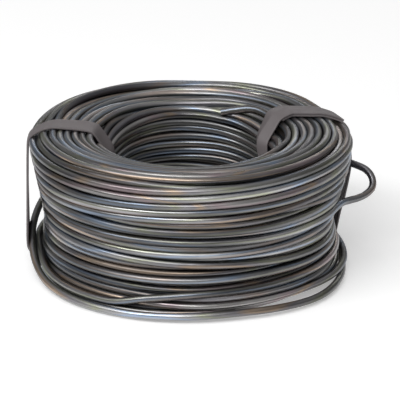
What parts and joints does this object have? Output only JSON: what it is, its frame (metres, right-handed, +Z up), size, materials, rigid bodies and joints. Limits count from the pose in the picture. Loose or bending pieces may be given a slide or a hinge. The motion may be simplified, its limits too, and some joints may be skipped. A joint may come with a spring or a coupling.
{
  "type": "coil of annealed tie wire",
  "caption": "Hand coil of black annealed steel tie wire, wound round an open eye and held by two flat plastic straps.",
  "frame": {"origin": "on the axis of the coil's eye, at the floor that the coil lies on", "axes": "+Z up along the axis of the eye, +X towards the bight of wire that stands out of the wall"},
  "size_m": [0.0768, 0.0702, 0.0323],
  "materials": {
    "annealed_wire": "satin black oxide",
    "strap_plastic": "matte"
  },
  "bodies": {
    "root": {"wire_coil": "annealed_wire", "strap_left": "strap_plastic", "strap_right": "strap_plastic"}
  },
  "joints": []
}
